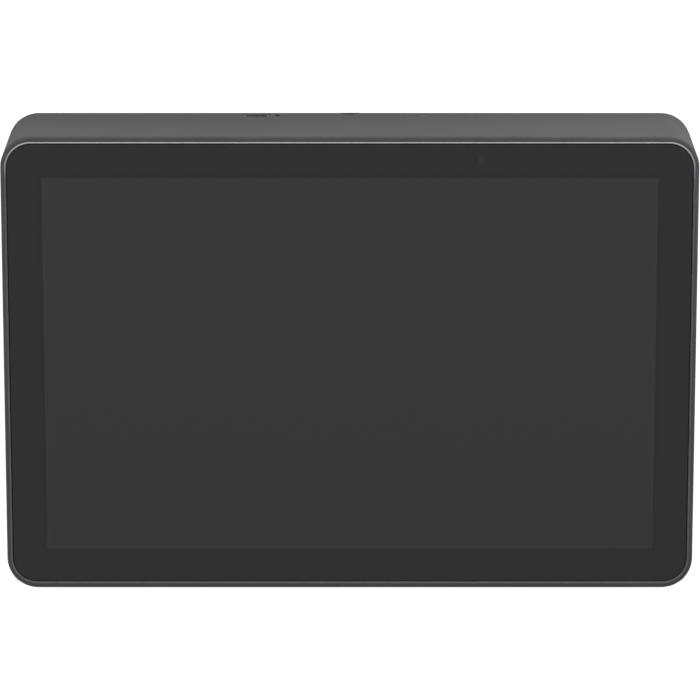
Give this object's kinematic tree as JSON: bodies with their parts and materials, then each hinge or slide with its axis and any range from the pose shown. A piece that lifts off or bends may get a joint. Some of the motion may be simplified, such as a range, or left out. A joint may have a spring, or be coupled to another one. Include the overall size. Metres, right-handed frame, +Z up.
{
  "type": "smart display",
  "caption": "Tabletop touch display: a wedge housing with a flush glass face leaning back, rear sockets and a cable bay with a removable door underneath.",
  "frame": {"origin": "on the table, under the middle of the object's bounding box", "axes": "+X to the right of a user who faces the screen, +Y to the rear, away from the user, +Z up"},
  "size_m": [0.246, 0.1708, 0.0537],
  "materials": {
    "housing_plastic": "fine matt texture, graphite",
    "black_steel": "fine powder coat, black",
    "fastener_steel": "plated steel",
    "black_fastener": "black oxide",
    "bay_plastic": "black moulding, matt",
    "cover_glass": "polished front glass with a dark border",
    "tape": "black foam tape",
    "touch_film": "clear film",
    "lcd_glass": "dark polariser",
    "film_white": "white optical film",
    "smoked_lens": "smoked clear plastic",
    "acrylic": "clear light guide",
    "lamp_board": "white board with lamps",
    "tray_metal": "folded sheet",
    "chassis_steel": "zinc-plated sheet",
    "foam": "soft foam",
    "flex": "amber flexible circuit",
    "board_green": "solder mask",
    "chip_black": "moulded package",
    "thermal_grey": "soft pad",
    "spreader_metal": "milled",
    "shield_tin": "tinned sheet",
    "socket_ivory": "heat-resistant plastic",
    "socket_steel": "nickel-plated shell",
    "gold_contact": "gold-plated",
    "ferrite": "ferrite and tape",
    "can_metal": "capacitor can",
    "foot_rubber": "matt black rubber",
    "button_plastic": "black plastic"
  },
  "bodies": {
    "display": {"housing": "housing_plastic", "base_plate": "black_steel", "mount_nuts": "fastener_steel", "base_screws": "black_fastener", "cable_bay_tray": "bay_plastic", "cable_guide": "bay_plastic", "tray_screws": "fastener_steel", "cable_clamp": "bay_plastic", "clamp_screws": "fastener_steel", "cover_glass": "cover_glass", "glass_adhesive": "tape", "touch_sensor": "touch_film", "lcd_cell": "lcd_glass", "diffuser_sheets": "film_white", "light_guide": "acrylic", "reflector_sheet": "film_white", "led_strip": "lamp_board", "backlight_tray": "tray_metal", "chassis_plate": "chassis_steel", "foam_pads": "foam", "chassis_screws": "fastener_steel", "lcd_flex": "flex", "touch_flex": "flex", "sensor_board": "board_green", "light_sensor": "chip_black", "sensor_boot": "foam", "sensor_flex": "flex", "main_board": "board_green", "board_standoffs": "fastener_steel", "board_screws": "fastener_steel", "processor": "chip_black", "thermal_pad": "thermal_grey", "heat_spreader": "spreader_metal", "memory_chips": "chip_black", "shield_can": "shield_tin", "board_connectors": "socket_ivory", "poe_board": "board_green", "poe_standoffs": "fastener_steel", "poe_screws": "fastener_steel", "ethernet_jack": "socket_steel", "jack_contacts": "gold_contact", "poe_transformer": "ferrite", "poe_capacitors": "can_metal", "link_flex": "flex", "port_board": "board_green", "port_screws": "fastener_steel", "usb_c_port": "socket_steel", "reset_switch": "chip_black", "port_flex": "flex", "status_lens": "smoked_lens", "status_lamp": "board_green", "foot_front_left": "foot_rubber", "foot_front_right": "foot_rubber", "foot_rear_left": "foot_rubber", "foot_rear_right": "foot_rubber"},
    "door": {"cable_door": "bay_plastic"},
    "stud_left": {"door_stud_left": "black_fastener"},
    "stud_right": {"door_stud_right": "black_fastener"},
    "reset_pin": {"reset_button": "button_plastic"}
  },
  "joints": [
    {"name": "door_off", "type": "slide", "parent": "display", "child": "door", "axis": [0, 0, -1], "range_m": [0, 0.03]},
    {"name": "stud_left_turn", "type": "hinge", "parent": "door", "child": "stud_left", "pos_m": [-0.026, 0.033, 0.002], "axis": [0, 0, 1], "range_deg": [0, 90]},
    {"name": "stud_right_turn", "type": "hinge", "parent": "door", "child": "stud_right", "pos_m": [0.026, 0.033, 0.002], "axis": [0, 0, 1], "range_deg": [0, 90]},
    {"name": "reset_press", "type": "slide", "parent": "display", "child": "reset_pin", "axis": [0, -0.9703, -0.2419], "range_m": [0, 0.0005], "stiffness_N_per_m": 1200}
  ]
}
